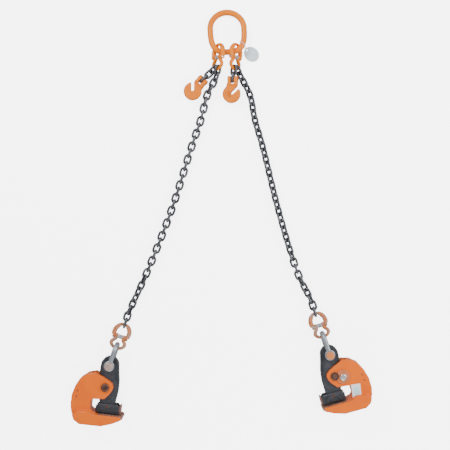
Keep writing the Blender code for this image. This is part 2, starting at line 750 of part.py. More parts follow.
def add_leg(leg, curve, root):
    lean = leg.lean * LEAN
    pin_axis = Vector((math.sin(lean), 0, math.cos(lean)))
    bar = bar_at(curve, leg.coupling_x)
    up = Vector((math.sin(TOP_TILT), math.cos(TOP_TILT), 0))
    centre = bar + up * (BAR_TO_CROWN - PIN_TO_CROWN) - UP * SAG
    place = frame(centre, pin_axis - pin_axis.dot(up) * up, up)
    name = f"top_coupling_{leg.side}"
    upper = add_body(f"{name}_upper", bar, root)
    lower = add_body(f"{name}_lower", centre, upper)
    add_coupling(name, place, upper, lower, PAINT)
    add_hook(leg, place, lower)

    pivot = Vector((*leg.pivot, CLAMP_Z))
    clamp_place = frame(pivot, leg.into, leg.clamp_up)
    lever_place = clamp_place @ Matrix.Rotation(leg.lever_turn, 4, "Z")
    eye = lever_place @ EYE_AT
    end_place, axis, inward = end_coupling_frame(eye, leg.end_tilt)
    parent = add_chain(leg, place, end_place, axis, lower)

    name = f"end_coupling_{leg.side}"
    high_bow = end_place.translation + axis * (PIN_TO_CROWN - GRIP)
    upper = add_body(f"{name}_upper", high_bow, parent)
    lower = add_body(f"{name}_lower", end_place.translation, upper)
    add_coupling(name, end_place, upper, lower, WORN_PAINT)

    shackle = add_body(f"shackle_{leg.side}", eye + inward * SHACKLE_CROWN, lower)
    add_shackle(leg.side, frame(eye, UP, inward), shackle)
    lever = add_body(f"lever_{leg.side}", eye, shackle)
    clamp = add_body(f"clamp_{leg.side}", pivot, lever)
    add_lever(leg.side, lever_place, leg.lever_turn, lever)
    add_clamp(leg.side, clamp_place, clamp)


def clear_scene():
    for thing in list(bpy.data.objects):
        bpy.data.objects.remove(thing)


def centre_outline(root):
    """Moves everything until the outline's middle is on the origin."""
    bpy.context.view_layer.update()
    nodes = [thing for thing in bpy.data.objects if thing.type == "MESH"]
    corners = [node.matrix_world @ v.co for node in nodes for v in node.data.vertices]
    for axis in (0, 1):
        across = [corner[axis] for corner in corners]
        root.location[axis] -= (min(across) + max(across)) / 2


def main():
    clear_scene()
    points = master_points()
    place = master_frame()
    root = add_body("master", place.translation)
    ring = sweep(points, Vector((0, 0, 1)), LINK_BAR, 8, closed=True)
    add_node("master_link", placed(ring, place), PAINT, root)
    curve = [place @ p for p in points]
    add_tag(curve, root)
    for leg in LEGS:
        add_leg(leg, curve, root)
    centre_outline(root)


main()
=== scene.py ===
"""Visual model of a two-leg chain sling with two plate lifting clamps, lying on a floor."""

import json
import math

import bmesh
import bpy
from mathutils import Matrix, Vector


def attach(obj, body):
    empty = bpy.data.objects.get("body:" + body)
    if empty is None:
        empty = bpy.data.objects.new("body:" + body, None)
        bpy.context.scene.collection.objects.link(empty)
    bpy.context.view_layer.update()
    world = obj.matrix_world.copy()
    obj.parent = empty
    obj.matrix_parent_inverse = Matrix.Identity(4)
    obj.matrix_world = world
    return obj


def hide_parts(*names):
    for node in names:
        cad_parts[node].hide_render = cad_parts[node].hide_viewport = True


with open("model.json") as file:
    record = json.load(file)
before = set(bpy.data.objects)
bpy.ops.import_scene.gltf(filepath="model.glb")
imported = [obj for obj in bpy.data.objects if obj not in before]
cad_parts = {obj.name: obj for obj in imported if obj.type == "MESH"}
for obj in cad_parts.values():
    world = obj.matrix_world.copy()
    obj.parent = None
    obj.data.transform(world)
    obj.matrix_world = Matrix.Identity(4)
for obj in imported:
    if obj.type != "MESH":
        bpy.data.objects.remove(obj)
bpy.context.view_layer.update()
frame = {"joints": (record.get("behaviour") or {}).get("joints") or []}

UP = Vector((0, 0, 1))
GAP = 0.0003

# ---- sizes, as the sling's CAD has them ----

LINK_BAR = 0.0104
CROWN_RADIUS = 0.0595
LINK_DROP = 0.0865
CROWN_AT = (0.0297, 0.6646)
LINK_TURN = math.radians(3)
TIE_X = 0.0845
TIE_LOOP = 0.0142
TAG_LONG = 0.029
TAG_WIDE = 0.0245
TAG_REACH = 0.022
TAG_HEIGHT = 0.0062
TAG_EYE = 0.0038
TIE_WIRE = 0.0011

WIRE = 0.0042
BEND = 0.0105
HALF_LINK = 0.0159
PITCH = 0.024
LOOSE_PITCH = 2 * HALF_LINK - 2 * WIRE - GAP
RUNS = 4

PIN_TO_BOW = 0.042
PIN_TO_CROWN = 0.0450
BOW = 0.0048
ARM = 0.0255
EYE_RADIUS = 0.009
LOAD_PIN = 0.005
LEAN = math.radians(37)
TOP_Z = 0.0318
TOP_TILT = math.radians(4)
BAR_TO_CROWN = 0.0234
GRIP = BOW + WIRE + 4 * GAP
SAG = 0.0029
END_DROP = 0.005
END_SLOPE = math.radians(13)

HOOK_DEPTH = 0.052
BOWL = 0.032
HOOK_THICK = 0.017
SLOT = 0.011
CLEVIS_WIDTH = 0.037
CLEVIS_GAP = 0.0124
CLEVIS_PIN = 0.0045

SHACKLE_ROD = 0.0085
SHACKLE_ARM = 0.024
SHACKLE_CROWN = 0.075
SHACKLE_PIN = 0.0098
SHACKLE_EYE = 0.018

CLAMP_Z = 0.0445
CHEEK = 0.026
JAW_HALF_DEPTH = 0.042
JAW_TOP = -0.094
LEVER_HALF = 0.013
EYE_AT = Vector((0, 0.0747, 0))
PIVOT = 0.0098
BUSH = 0.014
LOCK_AT = Vector((-0.027, -0.0095, 0))
LOCK_STUD = 0.0063
LOCK_DISC = 0.0245
LOCK_THICK = 0.004
FOOT_PIN_AT = Vector((0.018, -0.066, 0))
FOOT_PIN = 0.005

LEGS = {
    "left": {
        "coupling_x": 0.0,
        "lean": 1,
        "chain": (8, -15, 0.25, ()),
        "hook": (-34, -46, 0.0, (22, 94)),
        "hook_turn": -45,
        "path": ((-0.041, 0.428), (-0.063, 0.343), (-0.099, 0.237), (-0.166, 0.026), (-0.249, -0.186)),
        "end_tilt": 19,
        "pivot": (-0.391, -0.588),
        "into": (0.9936, -0.1132, 0),
        "lever_turn": -4,
    },
    "right": {
        "coupling_x": 0.061,
        "lean": -1,
        "chain": (-30, 28, 0.20, ()),
        "hook": (10, -6, 0.15, (102,)),
        "hook_turn": -3,
        "path": ((0.112, 0.428), (0.1285, 0.343), (0.159, 0.237), (0.211, 0.026), (0.275, -0.186)),
        "end_tilt": -18,
        "pivot": (0.401, -0.549),
        "into": (-0.9613, -0.2756, 0),
        "lever_turn": 3.5,
    },
}


def joint_at(name):
    return Vector(next(joint["pos_m"] for joint in frame["joints"] if joint["name"] == name))


HOME = joint_at("jaw_pivot_left") - Vector((*LEGS["left"]["pivot"], CLAMP_Z))
HOME.z = 0


# ---- shader maths ----

class Signal:
    """A shader socket that takes part in Python expressions."""

    def __init__(self, tree, socket):
        self.tree = tree
        self.socket = socket

    def maths(self, operation, *values):
        return self.tree.node("ShaderNodeMath", {"operation": operation}, dict(enumerate(values)))

    def __add__(self, other):
        return self.maths("ADD", self, other)

    def __mul__(self, other):
        return self.maths("MULTIPLY", self, other)

    def __sub__(self, other):
        return self.maths("SUBTRACT", self, other)

    def __rsub__(self, other):
        return self.maths("SUBTRACT", other, self)

    __radd__ = __add__
    __rmul__ = __mul__

    def above(self, low, high):
        """0 under low, 1 over high, smooth between."""
        values = {"Value": self, "From Min": low, "From Max": high}
        return self.tree.node("ShaderNodeMapRange", {"interpolation_type": "SMOOTHSTEP"}, values)

    def clear(self):
        return self.tree.node("ShaderNodeClamp", {}, {"Value": self})


class Finish:
    """One material, whose nodes are added by name, settings and socket values."""

    def __init__(self, name, metallic=0.0, coat=0.0, specular=0.5):
        self.material = bpy.data.materials.new(name)
        self.material.use_nodes = True
        self.nodes = self.material.node_tree.nodes
        self.links = self.material.node_tree.links
        self.shader = self.nodes["Principled BSDF"]
        self.shader.inputs["Metallic"].default_value = metallic
        self.shader.inputs["Coat Weight"].default_value = coat
        self.shader.inputs["Specular IOR Level"].default_value = specular
        self.place = self.node("ShaderNodeTexCoord", {}, {}, "Object")

    def node(self, kind, settings, values, output=0):
        made = self.nodes.new(kind)
        for name, value in settings.items():
            setattr(made, name, value)
        for name, value in values.items():
            self.feed(made.inputs[name], value)
        return Signal(self, made.outputs[output])

    def feed(self, socket, value):
        if isinstance(value, Signal):
            self.links.new(value.socket, socket)
        else:
            socket.default_value = value

    def noise(self, scale, detail=3.0, rough=0.55, place=None):
        values = {"Vector": place or self.place, "Scale": scale, "Detail": detail, "Roughness": rough}
        return self.node("ShaderNodeTexNoise", {}, values)

    def stretched(self, sizes, turn=(0, 0, 0)):
        return self.node("ShaderNodeMapping", {}, {"Vector": self.place, "Scale": sizes, "Rotation": turn})

    def edges(self, low=0.52, high=0.62):
        """1 along outer edges, broken up by a little noise."""
        pointed = self.node("ShaderNodeNewGeometry", {}, {}, "Pointiness")
        return (pointed + (self.noise(160, 2) - 0.5) * 0.10).above(low, high)

    def hollow_shade(self, low=0.40, high=0.49):
        """1 in hollow places and corners, where painted shade goes."""
        pointed = self.node("ShaderNodeNewGeometry", {}, {}, "Pointiness")
        return 1 - pointed.above(low, high)

    def mixed(self, mask, under, over):
        made = self.nodes.new("ShaderNodeMix")
        made.data_type = "RGBA"
        self.feed(made.inputs[0], mask)
        for socket, value in ((made.inputs[6], under), (made.inputs[7], over)):
            self.feed(socket, value if isinstance(value, Signal) else (*value, 1))
        return Signal(self, made.outputs[2])

    def done(self, colour, roughness, height, depth, metallic=None):
        self.feed(self.shader.inputs["Base Color"], colour)
        self.feed(self.shader.inputs["Roughness"], roughness)
        if metallic is not None:
            self.feed(self.shader.inputs["Metallic"], metallic)
        bump = self.node("ShaderNodeBump", {}, {"Height": height, "Distance": depth, "Strength": 0.6})
        self.feed(self.shader.inputs["Normal"], bump)
        return self.material


def orange_paint(name, fresh, dull, chipped, wear):
    """Baked enamel over forged steel: orange peel, dusty patches, bare edges and small chips."""
    paint = Finish(name, coat=0.06, specular=0.22)
    paint.shader.inputs["Coat Roughness"].default_value = 0.18
    patches = paint.noise(14, 4).above(0.35, 0.68)
    colour = paint.mixed(patches * 0.75, fresh, dull)
    streaks = paint.noise(26, 5, 0.7, paint.stretched((1, 0.35, 1))).above(0.55, 0.75)
    colour = paint.mixed(streaks * 0.30, colour, dull)
    # painted shade: hollow places and corners darkened to a third of the dull orange
    colour = paint.mixed(paint.hollow_shade() * 0.7, colour, tuple(part * 0.35 for part in dull))
    worn = paint.edges(0.53 - wear * 0.02, 0.60 - wear * 0.02) * wear
    nicks = paint.noise(120, 2, 0.5).above(0.70, 0.73) * paint.noise(24, 2).above(0.5, 0.62) * wear
    bare = (worn * 0.8 + nicks).clear()
    colour = paint.mixed(bare, colour, chipped)
    peel = paint.noise(900, 2) * 0.35 + paint.noise(60, 3) * 0.6
    roughness = 0.33 + patches * 0.14 + bare * 0.15
    return paint.done(colour, roughness, peel - bare * 0.8, 0.0005)


def worn_paint():
    """Old orange paint, mostly worn down to brown and grey steel."""
    paint = Finish("worn_orange_forging", specular=0.3)
    patches = paint.noise(45, 4, 0.6).above(0.40, 0.60)
    fine = paint.noise(170, 3)
    colour = paint.mixed(fine.above(0.35, 0.7), (0.66, 0.20, 0.045), (0.50, 0.13, 0.04))
    bare = (patches * 0.55 + paint.edges(0.50, 0.57) * 0.7).clear()
    steel = paint.mixed(fine.above(0.4, 0.6), (0.30, 0.25, 0.22), (0.46, 0.42, 0.39))
    colour = paint.mixed(bare, colour, steel)
    # painted shade: hollow places and corners darkened to a dark brown
    colour = paint.mixed(paint.hollow_shade() * 0.75, colour, (0.10, 0.05, 0.03))
    return paint.done(colour, 0.40 + fine * 0.2, fine - bare * 0.6, 0.0006, bare * 0.55)


def steel(name, dark, light, roughness, metallic, rust=0.0, rust_colour=(0.20, 0.09, 0.05), grain=300):
    """Bare, plated or blackened steel with outer edges lightened partly by wear and partly as painted
    highlight, and a fine grain.
    """
    bar = Finish(name, metallic=metallic)
    cloud = bar.noise(38, 4).above(0.3, 0.7)
    fine = bar.noise(grain, 3)
    edge_wear_and_highlight = bar.edges(0.51, 0.60)
    colour = bar.mixed(cloud, dark, light)
    # outer edges lightened: partly wear, partly painted highlight
    colour = bar.mixed(edge_wear_and_highlight * 0.7, colour, tuple(min(1, part * 2.2 + 0.02) for part in light))
    stain = bar.noise(75, 4, 0.6).above(0.56, 0.70) * rust
    colour = bar.mixed(stain, colour, rust_colour)
    # painted shade: hollow places and corners darkened to a third of the dark tone
    colour = bar.mixed(bar.hollow_shade() * 0.6, colour, tuple(part * 0.3 for part in dark))
    rough = roughness + cloud * 0.10 + stain * 0.25 - edge_wear_and_highlight * 0.08
    return bar.done(colour, rough, fine * 0.5 + cloud * 0.3, 0.0004)


def film(name, colour, shade, roughness):
    """Printed film or plastic, with faint scuffs."""
    sheet = Finish(name, coat=0.05, specular=0.2)
    scuffs = sheet.noise(220, 4, 0.7).above(0.50, 0.72)
    cloud = sheet.noise(40, 3)
    mixed = sheet.mixed((cloud * 0.5 + scuffs * 0.3).clear(), colour, shade)
    return sheet.done(mixed, roughness + scuffs * 0.15, cloud * 0.5 + scuffs * 0.3, 0.0003)


LINK_PAINT = orange_paint("clean_orange_link", (0.98, 0.25, 0.0), (0.92, 0.20, 0.0), (0.30, 0.22, 0.17), 0.5)
HOOK_PAINT = orange_paint("clean_orange_hook", (0.98, 0.25, 0.0), (0.90, 0.19, 0.0), (0.33, 0.22, 0.15), 0.6)
CLAMP_PAINT = orange_paint(
    "clamp_orange", (0.93, 0.165, 0.002), (0.84, 0.130, 0.003), (0.42, 0.21, 0.13), 0.9,
)
PIN_PAINT = orange_paint("pin_head_orange", (0.82, 0.25, 0.05), (0.66, 0.2, 0.06), (0.35, 0.28, 0.24), 1.0)
RIVET_PAINT = orange_paint(
    "rivet_head_orange", (0.42, 0.10, 0.02), (0.34, 0.08, 0.02), (0.25, 0.12, 0.08), 0.9,
)
WORN = worn_paint()
CHAIN_STEEL = steel("chain_black_steel", (0.034, 0.038, 0.046), (0.085, 0.090, 0.100), 0.34, 0.55)
LEVER_PAINT = steel(
    "lever_dark_paint", (0.018, 0.021, 0.027), (0.035, 0.038, 0.046), 0.40, 0.25, 0.25, (0.05, 0.03, 0.03),
)
ZINC = steel("galvanised_steel", (0.27, 0.30, 0.34), (0.42, 0.46, 0.50), 0.34, 0.75, 0.25, (0.40, 0.33, 0.28))
BRIGHT = steel("bright_steel", (0.66, 0.66, 0.66), (0.82, 0.81, 0.80), 0.24, 0.95, 0.1, (0.5, 0.4, 0.36))
BROWN = steel(
    "browned_steel", (0.055, 0.022, 0.016), (0.11, 0.050, 0.036), 0.42, 0.45, 0.5, (0.16, 0.06, 0.035),
)
# brown of the foot's end plate: partly worn steel, partly painted shade of the end face
FOOT_END_WORN_AND_SHADED = steel("foot_end_worn_and_shaded_steel", (0.10, 0.035, 0.030), (0.17, 0.075, 0.065), 0.46, 0.4, 0.5)
JAW_STEEL = steel(
    "jaw_brown_steel", (0.17, 0.085, 0.062), (0.28, 0.16, 0.125), 0.48, 0.5, 0.5, (0.12, 0.05, 0.03),
)
# grey-brown stands for the orange pin head in painted shade, a shaded copy of the orange pin finish
SHADED_ORANGE_PIN_HEAD = steel(
    "pin_head_orange_in_painted_shade", (0.36, 0.24, 0.21), (0.50, 0.36, 0.32), 0.42, 0.5, 0.4, (0.22, 0.12, 0.09),
)
LABEL_WHITE = film("label_white", (0.97, 0.97, 0.95), (0.88, 0.86, 0.83), 0.35)
LABEL_BLUE = film("label_pale_blue", (0.55, 0.92, 0.99), (0.66, 0.92, 0.96), 0.35)
TAG_FILM = film("tag_pale_blue", (0.74, 0.90, 0.99), (0.84, 0.94, 0.99), 0.3)
TIE_FILM = film("tie_white", (0.94, 0.96, 0.98), (0.84, 0.87, 0.90), 0.4)


# ---- shapes ----

def turned_to(at, x_axis, y_axis):
    """The matrix of a frame at a point, with its Z square to both axes."""
    x = x_axis.normalized()
    z = x.cross(y_axis).normalized()
    return Matrix.Translation(at) @ Matrix((x, z.cross(x), z)).transposed().to_4x4()


def placed(shape, matrix):
    bmesh.ops.transform(shape, matrix=matrix, verts=shape.verts)
    return shape


def sweep(points, normal, radius, sides=20, closed=False):
    """A round bar along points in a plane. Its radius may change along it."""
    shape = bmesh.new()
    count = len(points)
    radii = radius if isinstance(radius, list) else [radius] * count
    rings = []
    for i, point in enumerate(points):
        behind = points[i - 1] if closed or i else 2 * point - points[1]
        ahead = points[(i + 1) % count] if closed or i < count - 1 else 2 * point - points[i - 1]
        across = normal.cross(ahead - behind).normalized()
        turn = [2 * math.pi * k / sides for k in range(sides)]
        ring = [point + radii[i] * (math.cos(a) * across + math.sin(a) * normal) for a in turn]
        rings.append([shape.verts.new(place) for place in ring])
    for i in range(count if closed else count - 1):
        here, there = rings[i], rings[(i + 1) % count]
        for k in range(sides):
            n = (k + 1) % sides
            shape.faces.new((here[k], here[n], there[n], there[k]))
    if not closed:
        shape.faces.new(rings[0])
        shape.faces.new(rings[-1])
    return shape


def turned(profile, sides=48, closed=False):
    """A solid turned about Z from (radius, height) pairs; a closed profile makes a ring."""
    shape = bmesh.new()
    turn = [2 * math.pi * k / sides for k in range(sides)]
    rings = [[shape.verts.new((r * math.cos(a), r * math.sin(a), h)) for a in turn] for r, h in profile]
    pairs = list(zip(rings, rings[1:])) + ([(rings[-1], rings[0])] if closed else [])
    for low, high in pairs:
        for k in range(sides):
            n = (k + 1) % sides
            shape.faces.new((low[k], low[n], high[n], high[k]))
    if not closed:
        shape.faces.new(rings[0])
        shape.faces.new(rings[-1])
    return shape


def bore(radius, reach, sides=32):
    """The tool that cuts a round hole along Z."""
    return turned(((radius, -reach), (radius, reach)), sides)


def pin(radius, low, high, edge=0.0006, sides=48):
    """A round pin along Z with rounded ends."""
    ends = [(radius - edge, low), (radius - edge * 0.3, low + edge * 0.3), (radius, low + edge)]
    return turned(ends + [(r, low + high - h) for r, h in reversed(ends)], sides)


def ring(outer, inner, low, high, edge=0.0005, sides=48):
    """A washer or sleeve about Z with rounded rims."""
    profile = [(inner, low + edge), (inner + edge, low), (outer - edge, low), (outer, low + edge)]
    profile += [(outer, high - edge), (outer - edge, high), (inner + edge, high), (inner, high - edge)]
    return turned(profile, sides, closed=True)


def slab(outline, low, high, edge=0.0, steps=1):
    """A plate of a flat outline between two heights, with rounded rims."""
    shape = bmesh.new()
    face = shape.faces.new([shape.verts.new((x, y, low)) for x, y in outline])
    raised = bmesh.ops.extrude_face_region(shape, geom=[face])
    top = [v for v in raised["geom"] if isinstance(v, bmesh.types.BMVert)]
    bmesh.ops.translate(shape, verts=top, vec=(0, 0, high - low))
    bmesh.ops.recalc_face_normals(shape, faces=shape.faces)
    if edge:
        rims = [e for e in shape.edges if abs(e.verts[0].co.z - e.verts[1].co.z) < 1e-9]
        bmesh.ops.bevel(shape, geom=rims, offset=edge, segments=steps, profile=0.5, affect="EDGES")
    return shape


def block(low, high, edge=0.0, steps=1):
    outline = [(low[0], low[1]), (high[0], low[1]), (high[0], high[1]), (low[0], high[1])]
    return slab(outline, low[2], high[2], edge, steps)


def arc(middle, radius, start, end, steps):
    turn = [math.radians(start + (end - start) * i / steps) for i in range(steps + 1)]
    return [(middle[0] + radius * math.cos(a), middle[1] + radius * math.sin(a)) for a in turn]


def curve_through(points, steps, closed=False):
    """A smooth curve through points; an open one is carried straight on at its ends."""
    ends = [points[-1], *points, points[0], points[1]]
    if not closed:
        ends = [2 * points[0] - points[1], *points, 2 * points[-1] - points[-2]]
    curve = []
    for a, b, c, d in zip(ends, ends[1:], ends[2:], ends[3:]):
        for i in range(steps):
            t = i / steps
            bend = (2 * a - 5 * b + 4 * c - d) * t * t + (3 * b - a - 3 * c + d) * t * t * t
            curve.append(0.5 * (2 * b + (c - a) * t + bend))
    return curve if closed else [*curve, points[-1]]


def rounded(outline, longest=0.010, steps=4):
    """A flat outline drawn as one smooth line, straight along its long sides."""
    points = []
    for start, end in zip(outline, [*outline[1:], outline[0]]):
        start, end = Vector(start), Vector(end)
        count = math.ceil((end - start).length / longest)
        points += [start.lerp(end, i / count) for i in range(count)]
    return [(point.x, point.y) for point in curve_through(points, steps, closed=True)]


def as_object(shape):
    mesh = bpy.data.meshes.new("shape")
    bmesh.ops.recalc_face_normals(shape, faces=shape.faces)
    shape.to_mesh(mesh)
    shape.free()
    thing = bpy.data.objects.new("shape", mesh)
    bpy.context.scene.collection.objects.link(thing)
    return thing


def evaluated(thing):
    """The shape of an object with its modifiers, and the object is gone."""
    result = bmesh.new()
    result.from_object(thing, bpy.context.evaluated_depsgraph_get())
    mesh = thing.data
    bpy.data.objects.remove(thing)
    bpy.data.meshes.remove(mesh)
    return result


def cut(base, *tools):
    """The base without each of the closed tool shapes."""
    for tool in tools:
        first, second = as_object(base), as_object(tool)
        change = first.modifiers.new("change", "BOOLEAN")
        change.operation = "DIFFERENCE"
        change.object = second
        change.solver = "EXACT"
        base = evaluated(first)
        bpy.data.objects.remove(second)
    return base


def together(*shapes):
    """Closed shapes that overlap, in one mesh."""
    base = bmesh.new()
    for shape in shapes:
        bmesh.ops.recalc_face_normals(shape, faces=shape.faces)
        mesh = bpy.data.meshes.new("shape")
        shape.to_mesh(mesh)
        shape.free()
        base.from_mesh(mesh)
        bpy.data.meshes.remove(mesh)
    return base


def forged(grain, rounds, *shapes):
    """Overlapping shapes as one, in even small faces, with its corners and joins flowing together."""
    thing = as_object(together(*shapes))
    remesh = thing.modifiers.new("even", "REMESH")
    remesh.mode = "VOXEL"
    remesh.voxel_size = grain
    smooth = thing.modifiers.new("flow", "SMOOTH")
    smooth.factor = 0.5
    smooth.iterations = rounds
    return evaluated(thing)


def piece(name, shape, finish, body, nodes=(), round_over=math.radians(38)):
    """A finished piece in row coordinates, on its body and in place of its CAD nodes."""
    bmesh.ops.translate(shape, verts=shape.verts, vec=HOME)
    bmesh.ops.recalc_face_normals(shape, faces=shape.faces)
    mesh = bpy.data.meshes.new(name)
    shape.to_mesh(mesh)
    shape.free()
    mesh.shade_smooth()
    mesh.set_sharp_from_angle(angle=round_over)
    mesh.materials.append(finish)
    return settle(bpy.data.objects.new(name, mesh), body, nodes)


def settle(thing, body, nodes):
    if thing.name not in bpy.context.scene.collection.objects:
        bpy.context.scene.collection.objects.link(thing)
    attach(thing, body)
    if nodes:
        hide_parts(*([nodes] if isinstance(nodes, str) else nodes))
    return thing


# ---- geometry nodes ----

class Tree:
    """A geometry node tree, built by name, settings and socket values."""

    def __init__(self, name, sizes):
        self.group = bpy.data.node_groups.new(name, "GeometryNodeTree")
        face = self.group.interface
        face.new_socket("Geometry", in_out="INPUT", socket_type="NodeSocketGeometry")
        self.named = {}
        for label in sizes:
            socket = face.new_socket(label, in_out="INPUT", socket_type="NodeSocketFloat")
            self.named[label] = socket.identifier
        finish = face.new_socket("Finish", in_out="INPUT", socket_type="NodeSocketMaterial")
        self.named["Finish"] = finish.identifier
        face.new_socket("Geometry", in_out="OUTPUT", socket_type="NodeSocketGeometry")
        self.given = self.group.nodes.new("NodeGroupInput").outputs

    def add(self, kind, settings, values, output=0):
        made = self.group.nodes.new(kind)
        for name, value in settings.items():
            setattr(made, name, value)
        for name, value in values.items():
            if isinstance(value, bpy.types.NodeSocket):
                self.group.links.new(value, made.inputs[name])
            else:
                made.inputs[name].default_value = value
        return made.outputs[output]

    def maths(self, operation, first, second):
        return self.add("ShaderNodeMath", {"operation": operation}, {0: first, 1: second})

    def stored(self, name):
        return self.add("GeometryNodeInputNamedAttribute", {"data_type": "FLOAT_VECTOR"}, {"Name": name})

    def place_on_points(self, shape):
        """Puts the shape on every point, turned by its way and across, and ends the tree."""
        settings = {"primary_axis": "X", "secondary_axis": "Y"}
        axes = {"Primary Axis": self.stored("way"), "Secondary Axis": self.stored("across")}
        turn = self.add("FunctionNodeAxesToRotation", settings, axes)
        values = {"Points": self.given["Geometry"], "Instance": shape, "Rotation": turn}
        placed_on = self.add("GeometryNodeInstanceOnPoints", {}, values)
        real = self.add("GeometryNodeRealizeInstances", {}, {"Geometry": placed_on})
        smooth = self.add("GeometryNodeSetShadeSmooth", {}, {"Geometry": real})
        done = self.add("GeometryNodeSetMaterial", {}, {"Geometry": smooth, "Material": self.given["Finish"]})
        self.group.links.new(done, self.group.nodes.new("NodeGroupOutput").inputs[0])
        return self


def link_tree():
    """Chain link: a rounded oblong of round wire on every point."""
    tree = Tree("chain_links", ("Wire radius", "Half length", "Half width", "Corner"))
    sizes = {"Width": tree.maths("MULTIPLY", tree.given["Half length"], 2.0)}
    sizes["Height"] = tree.maths("MULTIPLY", tree.given["Half width"], 2.0)
    oblong = tree.add("GeometryNodeCurvePrimitiveQuadrilateral", {}, sizes)
    values = {"Curve": oblong, "Count": 7, "Radius": tree.given["Corner"]}
    oval = tree.add("GeometryNodeFilletCurve", {"mode": "POLY"}, values)
    values = {"Resolution": 12, "Radius": tree.given["Wire radius"]}
    wire = tree.add("GeometryNodeCurvePrimitiveCircle", {}, values)
    bent = tree.add("GeometryNodeCurveToMesh", {}, {"Curve": oval, "Profile Curve": wire})
    return tree.place_on_points(bent)


def stud_tree():
    """Rivet or tooth: a low dome or pyramid on every point."""
    tree = Tree("studs", ("Radius", "Height", "Tip", "Sides"))
    values = {"Vertices": tree.given["Sides"], "Side Segments": 3, "Fill Segments": 1}
    values.update({"Radius Top": tree.given["Tip"], "Radius Bottom": tree.given["Radius"]})
    values["Depth"] = tree.given["Height"]
    cone = tree.add("GeometryNodeMeshCone", {}, values)
    lying = tree.add("GeometryNodeTransform", {}, {"Geometry": cone, "Rotation": (0, math.pi / 2, 0)})
    return tree.place_on_points(lying)


LINK_TREE = link_tree()
STUD_TREE = stud_tree()


def strewn(name, tree, spots, sizes, finish, body, nodes):
    """One mesh of a tree's shape on (middle, way, across) spots."""
    mesh = bpy.data.meshes.new(name)
    mesh.from_pydata([spot[0] + HOME for spot in spots], [], [])
    for label, column in (("way", 1), ("across", 2)):
        stored = mesh.attributes.new(label, "FLOAT_VECTOR", "POINT")
        stored.data.foreach_set("vector", [part for spot in spots for part in spot[column]])
    seed = bpy.data.objects.new("seed", mesh)
    bpy.context.scene.collection.objects.link(seed)
    grow = seed.modifiers.new("grow", "NODES")
    grow.node_group = tree.group
    for label, value in sizes.items():
        grow[tree.named[label]] = value
    grow[tree.named["Finish"]] = finish
    depsgraph = bpy.context.evaluated_depsgraph_get()
    plain = bpy.data.meshes.new_from_object(seed.evaluated_get(depsgraph), depsgraph=depsgraph)
    bpy.data.objects.remove(seed)
    bpy.data.meshes.remove(mesh)
    plain.name = name
    return settle(bpy.data.objects.new(name, plain), body, nodes)


# ---- chain ----

def along(curve, distance):
    for a, b in zip(curve, curve[1:]):
        step = (b - a).length
        if distance <= step:
            return a + (b - a) * (distance / step)
        distance -= step
    return curve[-1]


def rest_height(roll):
    """How high the chain's middle line lies on the floor, for the roll of its links."""
    slope = math.radians(roll)
    return (BEND + WIRE) * max(abs(math.sin(slope)), abs(math.cos(slope))) + 4 * GAP


def leg_links(points, first_roll, main_roll):
    """(middle, direction, roll) of each link of a leg, in runs."""
    curve = curve_through(points, 24)
    length = sum((b - a).length for a, b in zip(curve, curve[1:])) - (RUNS - 1) * LOOSE_PITCH
    count = round(length / PITCH) + RUNS
    pitch = length / (count - RUNS)
    ends = [round(count * (i + 1) / RUNS) for i in range(RUNS)]
    last_roll = main_roll - (main_roll + 90 * count) % 180
    places, rolls, distance = [], [], 0.0
    for i in range(count):
        roll = main_roll
        roll += (first_roll - main_roll) * max(0, 1 - i / 8)
        roll += (last_roll - main_roll) * max(0, 1 - (count - 1 - i) / 10)
        place = along(curve, distance)
        places.append(Vector((place.x, place.y, max(place.z, rest_height(roll)))))
        rolls.append(math.radians(roll + 90 * i))
        distance += LOOSE_PITCH if i + 1 in ends else pitch
    ahead = [*places[1:], places[-1]]
    behind = [places[0], *places[:-1]]
    ways = [(after - before).normalized() for before, after in zip(behind, ahead)]
    links = list(zip(places, ways, rolls))
    return [links[a:b] for a, b in zip([0, *ends], ends)]


def leaving(start, place):
    """The first link of a piece of chain on a coupling's lower bow, and where it hangs."""
    angle, turn, slope = math.radians(start[0]), math.radians(start[1]), start[2]
    low = ARM - PIN_TO_BOW
    at = place @ Vector((ARM * math.sin(angle), low - ARM * math.cos(angle), 0))
    rod = place.to_3x3() @ Vector((math.cos(angle), math.sin(angle), 0))
    way = Vector((math.sin(turn), -math.cos(turn), -slope)).normalized()
    slant = rod.dot(way)
    side = UP.cross(way).normalized()
    roll = math.degrees(math.atan2(-rod.dot(side), rod.dot(way.cross(side))))
    roll = (roll + 90) % 180 - 90
    return way, at + way * (HALF_LINK - GRIP / math.sqrt(1 - slant**2)), roll


def add_links(name, links, body):
    spots = []
    for middle, way, roll in links:
        side = UP.cross(way).normalized()
        across = math.cos(roll) * side + math.sin(roll) * way.cross(side)
        spots.append((middle, way, across))
    sizes = {"Wire radius": WIRE + 0.00035, "Half length": HALF_LINK, "Half width": BEND}
    sizes["Corner"] = BEND * 0.97
    strewn(f"{name}_links", LINK_TREE, spots, sizes, CHAIN_STEEL, body, name)


# ---- coupling ----

LYING = Matrix.Rotation(math.pi / 2, 4, "Y")


def flat(points):
    return [Vector((x, y, 0)) for x, y in points]


def swelling(count, arm, middle):
    """Radii along a bow: thick along its arms, thin only where a link or the bar sits in it."""
    spread = [math.sin(math.pi * i / (count - 1)) for i in range(count)]
    return [arm + (middle - arm) * part**6 for part in spread]


def both_arms(arm, crown):
    """A bow's centre line: an arm, the crown and the other arm."""
    return curve_through(flat([*arm, (0, crown), *[(-x, y) for x, y in reversed(arm)]]), 4)


